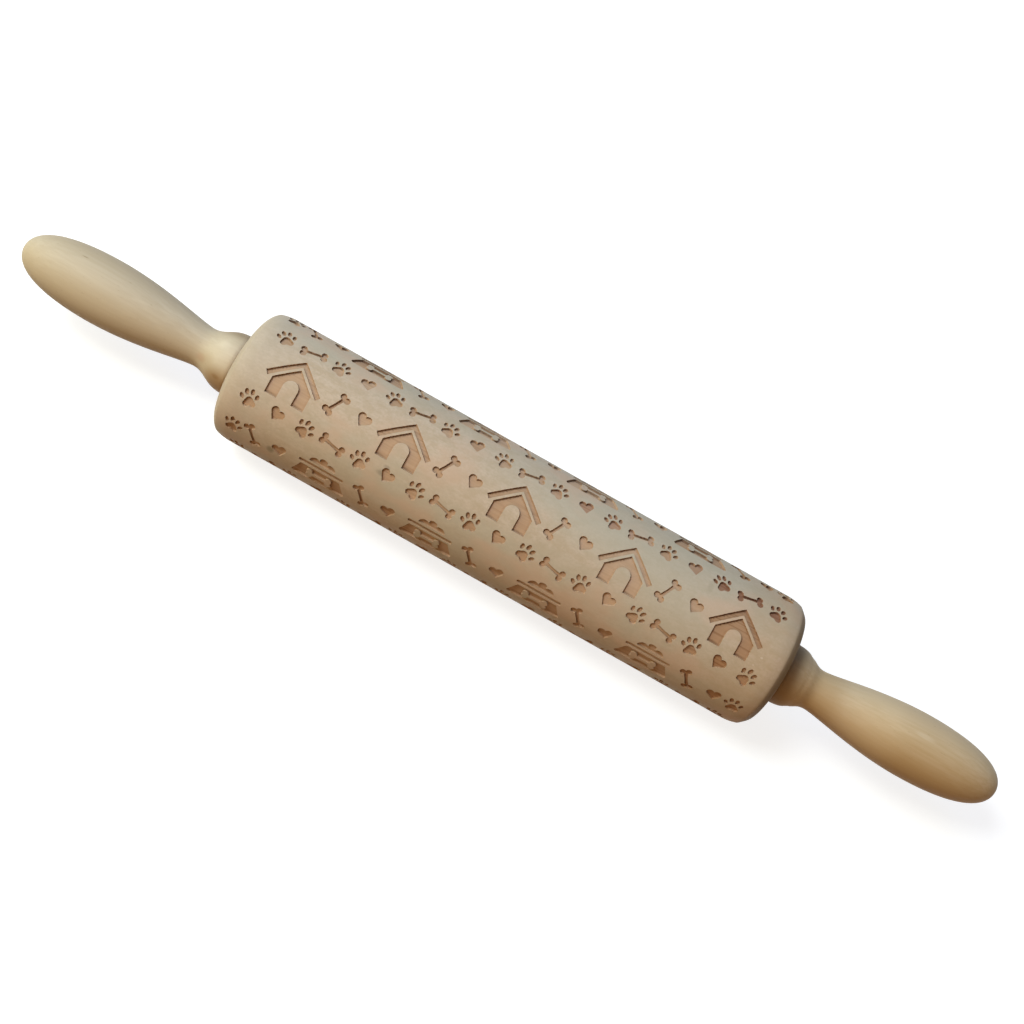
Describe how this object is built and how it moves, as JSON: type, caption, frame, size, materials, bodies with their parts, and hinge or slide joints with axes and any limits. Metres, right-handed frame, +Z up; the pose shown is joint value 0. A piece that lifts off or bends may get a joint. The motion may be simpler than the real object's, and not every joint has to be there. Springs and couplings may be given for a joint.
{
  "type": "embossed rolling pin",
  "caption": "Wooden rolling pin with an engraved roller that spins on a steel axle between two shaped handles, for printing a pattern into dough.",
  "frame": {"origin": "middle of the roller, on the spin axis", "axes": "+X along the spin axis from the left handle to the right handle, +Z up"},
  "size_m": [0.44, 0.0548, 0.0548],
  "materials": {
    "roller_wood": "pale close-grained wood, bare and matte, with the engraved pockets burnt light brown",
    "handle_wood": "pale yellow-brown wood under a satin clear coat",
    "bush_nylon": "natural off-white nylon",
    "axle_steel": "drawn steel bar",
    "washer_steel": "plain steel, stamped flat",
    "insert_brass": "machined brass"
  },
  "bodies": {
    "axle_and_handles": {"axle": "axle_steel", "washer_left": "washer_steel", "washer_right": "washer_steel", "insert_left": "insert_brass", "insert_right": "insert_brass", "handle_left": "handle_wood", "handle_right": "handle_wood"},
    "roller": {"roller": "roller_wood", "bush_left": "bush_nylon", "bush_right": "bush_nylon"}
  },
  "joints": [
    {"name": "roller_spin", "type": "hinge", "parent": "axle_and_handles", "child": "roller", "pos_m": [0, 0, 0], "axis": [1, 0, 0], "continuous": true}
  ]
}
